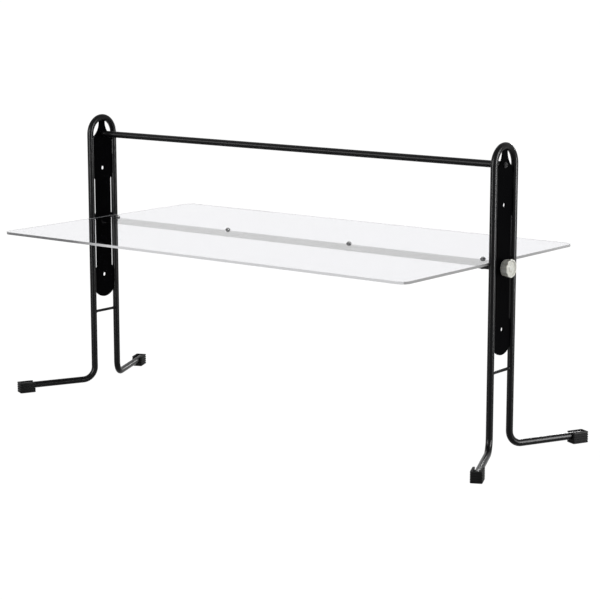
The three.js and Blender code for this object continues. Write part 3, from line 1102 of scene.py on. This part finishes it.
@dataclass
class Studio:
    """White paper, an even bright room, and flagged lights that draw each finish's highlights."""

    paper_size: float = 160.0
    room_light: float = 1.05
    azimuth: float = math.radians(38.12)
    elevation: float = math.radians(10.23)
    distance: float = 4.575
    aim: tuple[float, float, float] = (0.040, 0.017, 0.291)
    focal_mm: float = 114.4
    key_aim_z: float = 0.4

    def build(self) -> None:
        """Sets the floor, the light and the camera."""
        self.floor()
        self.room()
        # Each strip draws one line: left of an upright's middle, right of it, along the crossbar, and along
        # the foot tubes that point away. The keys model the knobs and the screws.
        self.light("front_strip", (-0.25, -2.6, 1.0), (0.35, 2.4), 180, POWDER_COAT, FOOT_RUBBER,
                   KNOB_POLYMER)
        self.light("side_strip", (2.75, 0.5, 1.0), (0.7, 2.4), 300, POWDER_COAT, FOOT_RUBBER)
        self.light("bar_strip", (-2.0, -2.6, 1.3), (1.6, 0.9), 65, POWDER_COAT)
        self.light("back_strip", (-0.6, 2.6, 0.62), (0.45, 0.4), 20, POWDER_COAT)
        for side in Side:
            self.light(f"{side.label}_key", (side.value * 3.0, 0.3, 1.1), (1.0, 1.0), 110, KNOB_POLYMER,
                       CHROME, gloss_only=False)
        self.camera()

    def direction(self, azimuth: float, elevation: float) -> Vector:
        """The direction from the guard towards a place round it, with angles in radians."""
        flat = math.cos(elevation)
        return Vector((math.sin(azimuth) * flat, -math.cos(azimuth) * flat, math.sin(elevation)))

    def floor(self) -> None:
        """The sheet of paper that the guard stands on."""
        skin = bmesh.new()
        bmesh.ops.create_grid(skin, x_segments=4, y_segments=4, size=self.paper_size / 2)
        floor = solid_object("studio_paper", skin, Matrix.Translation((0, 0, -0.2 * MM)))
        floor.data.materials.append(PAPER.make())

    def room(self) -> None:
        """An even white room."""
        world = bpy.data.worlds.new("white room")
        world.use_nodes = True
        background = world.node_tree.nodes["Background"]
        background.inputs["Color"].default_value = linear("FFFFFF")
        background.inputs["Strength"].default_value = self.room_light
        bpy.context.scene.world = world

    def light(self, name: str, spot: tuple[float, float, float], size: tuple[float, float], watts: float,
              *subjects: Finish, gloss_only: bool = True) -> None:
        """Hangs a softbox that faces the guard, flagged off everything but its subjects.

        Args:
            name: The light's name.
            spot: Where its middle is.
            size: Its width and height.
            watts: Its power.
            subjects: The finishes that it may light.
            gloss_only: Whether it stands upright and shows only as a highlight; otherwise it leans towards
                the middle of the guard and lights its subjects in full.
        """
        data = bpy.data.lights.new(name, "AREA")
        data.shape, data.size, data.size_y, data.energy = "RECTANGLE", *size, watts
        lamp = bpy.data.objects.new(name, data)
        bpy.context.scene.collection.objects.link(lamp)
        lamp.location = spot
        target = Vector((0, 0, spot[2] if gloss_only else self.key_aim_z))
        lamp.rotation_euler = (target - lamp.location).to_track_quat("-Z", "Y").to_euler()
        if gloss_only:
            lamp.visible_diffuse = lamp.visible_transmission = lamp.visible_camera = False
        lit, names = bpy.data.collections.new(f"{name}_subjects"), {finish.name for finish in subjects}
        for piece in bpy.context.scene.objects:
            if piece.type == "MESH" and names & {m.name for m in piece.data.materials if m}:
                lit.objects.link(piece)
        lamp.light_linking.receiver_collection = lit

    def camera(self) -> None:
        """A long lens from the right-hand front corner, a little above the panel."""
        data = bpy.data.cameras.new("camera")
        data.sensor_width, data.lens = 36.0, self.focal_mm
        data.clip_start, data.clip_end = 0.05, 200.0
        camera = bpy.data.objects.new("camera", data)
        bpy.context.scene.collection.objects.link(camera)
        back = self.direction(self.azimuth, self.elevation)
        camera.location = Vector(self.aim) + back * self.distance
        camera.rotation_euler = (-back).to_track_quat("-Z", "Y").to_euler()
        bpy.context.scene.camera = camera
        bpy.context.scene.view_settings.view_transform = "Standard"


def main() -> None:
    """Builds the guard, piece by piece, and the studio round it."""
    logging.basicConfig(level=logging.INFO, format="%(name)s: %(message)s", force=True)
    for side in Side:
        EndFrame(side).build()
    Crossbar().build()
    TiltingPanel().build()
    for side in Side:
        Clamp(side).build()
    dress_hidden_steel()
    Studio().build()


if __name__ == "__main__":
    main()
